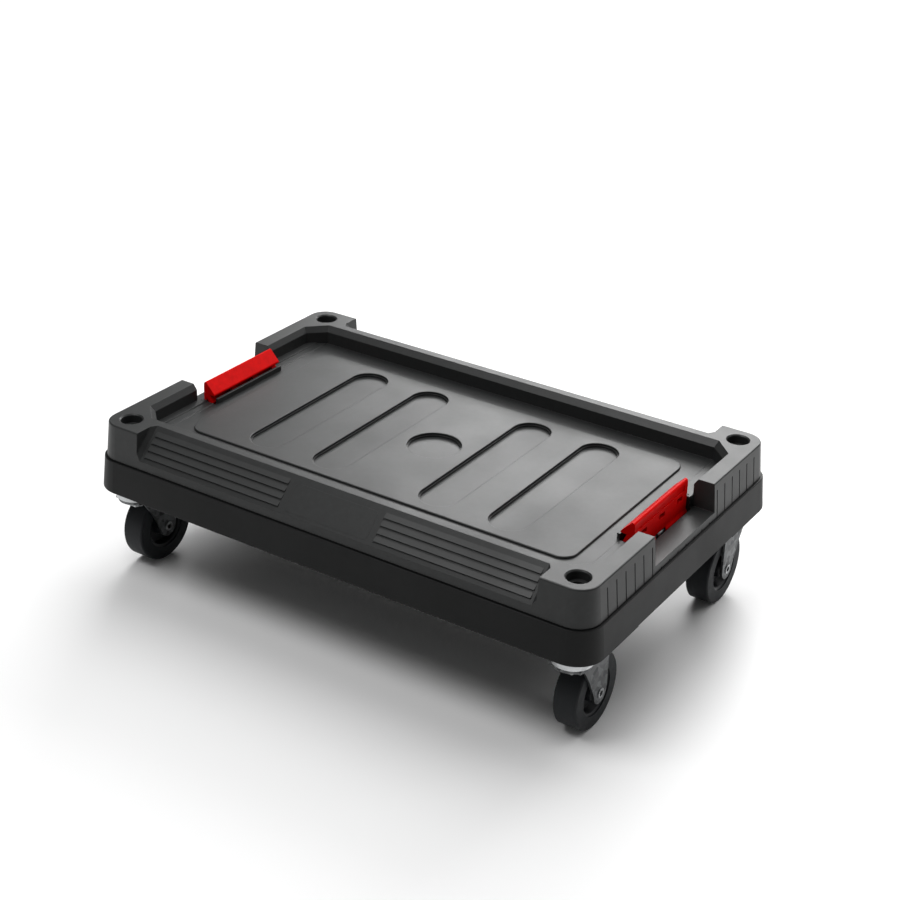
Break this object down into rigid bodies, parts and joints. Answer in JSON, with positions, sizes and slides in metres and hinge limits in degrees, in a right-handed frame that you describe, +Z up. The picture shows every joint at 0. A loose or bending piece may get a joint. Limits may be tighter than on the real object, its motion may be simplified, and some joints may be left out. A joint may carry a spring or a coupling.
{
  "type": "wheeled tool box base",
  "caption": "Low rectangular rolling base with a rimmed deck, corner sockets, sprung end latches and swivel casters, for carrying stackable tool boxes.",
  "frame": {"origin": "on the floor under the middle of the base", "axes": "+X along the length, +Y across the width, +Z up; the latches are at the two X ends"},
  "size_m": [0.569, 0.379, 0.1683],
  "materials": {
    "tray_plastic": "fine moulded texture",
    "frame_plastic": "fine moulded texture",
    "latch_plastic": "satin",
    "pin_steel": "dark oiled",
    "spring_steel": "drawn wire",
    "screw_steel": "zinc plated",
    "bolt_steel": "zinc plated",
    "cup_steel": "zinc plated",
    "race_zinc": "bright zinc",
    "ball_steel": "polished",
    "fork_steel": "galvanised",
    "bush_steel": "turned",
    "washer_nylon": "natural",
    "rivet_steel": "zinc plated",
    "tyre_rubber": "matt",
    "hub_plastic": "satin"
  },
  "bodies": {
    "base": {"top_tray": "tray_plastic", "base_frame": "frame_plastic", "tray_screws": "screw_steel", "latch_pin_left": "pin_steel", "latch_pin_right": "pin_steel", "latch_spring_left": "spring_steel", "latch_spring_right": "spring_steel", "caster_bolt_front_left": "bolt_steel", "caster_nut_front_left": "bolt_steel", "caster_cup_front_left": "cup_steel", "kingpin_front_left": "cup_steel", "caster_bolt_front_right": "bolt_steel", "caster_nut_front_right": "bolt_steel", "caster_cup_front_right": "cup_steel", "kingpin_front_right": "cup_steel", "caster_bolt_rear_left": "bolt_steel", "caster_nut_rear_left": "bolt_steel", "caster_cup_rear_left": "cup_steel", "kingpin_rear_left": "cup_steel", "caster_bolt_rear_right": "bolt_steel", "caster_nut_rear_right": "bolt_steel", "caster_cup_rear_right": "cup_steel", "kingpin_rear_right": "cup_steel"},
    "latch_left_body": {"latch_left": "latch_plastic"},
    "latch_right_body": {"latch_right": "latch_plastic"},
    "swivel_front_left": {"race_ring_front_left": "race_zinc", "race_balls_front_left": "ball_steel", "fork_front_left": "fork_steel", "axle_bush_front_left": "bush_steel", "thrust_washers_front_left": "washer_nylon", "axle_rivet_front_left": "rivet_steel"},
    "wheel_front_left": {"tyre_front_left": "tyre_rubber", "wheel_hub_front_left": "hub_plastic"},
    "swivel_front_right": {"race_ring_front_right": "race_zinc", "race_balls_front_right": "ball_steel", "fork_front_right": "fork_steel", "axle_bush_front_right": "bush_steel", "thrust_washers_front_right": "washer_nylon", "axle_rivet_front_right": "rivet_steel"},
    "wheel_front_right": {"tyre_front_right": "tyre_rubber", "wheel_hub_front_right": "hub_plastic"},
    "swivel_rear_left": {"race_ring_rear_left": "race_zinc", "race_balls_rear_left": "ball_steel", "fork_rear_left": "fork_steel", "axle_bush_rear_left": "bush_steel", "thrust_washers_rear_left": "washer_nylon", "axle_rivet_rear_left": "rivet_steel"},
    "wheel_rear_left": {"tyre_rear_left": "tyre_rubber", "wheel_hub_rear_left": "hub_plastic"},
    "swivel_rear_right": {"race_ring_rear_right": "race_zinc", "race_balls_rear_right": "ball_steel", "fork_rear_right": "fork_steel", "axle_bush_rear_right": "bush_steel", "thrust_washers_rear_right": "washer_nylon", "axle_rivet_rear_right": "rivet_steel"},
    "wheel_rear_right": {"tyre_rear_right": "tyre_rubber", "wheel_hub_rear_right": "hub_plastic"}
  },
  "joints": [
    {"name": "latch_left_tilt", "type": "hinge", "parent": "base", "child": "latch_left_body", "pos_m": [-0.25, 0, 0.1323], "axis": [0, -1, 0], "range_deg": [0, 25], "stiffness_Nm_per_rad": 0.3, "springref_deg": -22.92, "deforming": ["latch_spring_left"]},
    {"name": "latch_right_tilt", "type": "hinge", "parent": "base", "child": "latch_right_body", "pos_m": [0.25, 0, 0.1323], "axis": [0, 1, 0], "range_deg": [0, 25], "stiffness_Nm_per_rad": 0.3, "springref_deg": -22.92, "deforming": ["latch_spring_right"]},
    {"name": "caster_front_left_swivel", "type": "hinge", "parent": "base", "child": "swivel_front_left", "pos_m": [-0.25325, -0.15915, 0.0815], "axis": [0, 0, 1], "continuous": true},
    {"name": "wheel_front_left_spin", "type": "hinge", "parent": "swivel_front_left", "child": "wheel_front_left", "pos_m": [-0.25325, -0.13115, 0.0375], "axis": [1, 0, 0], "continuous": true},
    {"name": "caster_front_right_swivel", "type": "hinge", "parent": "base", "child": "swivel_front_right", "pos_m": [0.25325, -0.15915, 0.0815], "axis": [0, 0, 1], "continuous": true},
    {"name": "wheel_front_right_spin", "type": "hinge", "parent": "swivel_front_right", "child": "wheel_front_right", "pos_m": [0.25325, -0.13115, 0.0375], "axis": [1, 0, 0], "continuous": true},
    {"name": "caster_rear_left_swivel", "type": "hinge", "parent": "base", "child": "swivel_rear_left", "pos_m": [-0.25325, 0.15915, 0.0815], "axis": [0, 0, 1], "continuous": true},
    {"name": "wheel_rear_left_spin", "type": "hinge", "parent": "swivel_rear_left", "child": "wheel_rear_left", "pos_m": [-0.25325, 0.13115, 0.0375], "axis": [1, 0, 0], "continuous": true},
    {"name": "caster_rear_right_swivel", "type": "hinge", "parent": "base", "child": "swivel_rear_right", "pos_m": [0.25325, 0.15915, 0.0815], "axis": [0, 0, 1], "continuous": true},
    {"name": "wheel_rear_right_spin", "type": "hinge", "parent": "swivel_rear_right", "child": "wheel_rear_right", "pos_m": [0.25325, 0.13115, 0.0375], "axis": [1, 0, 0], "continuous": true}
  ]
}
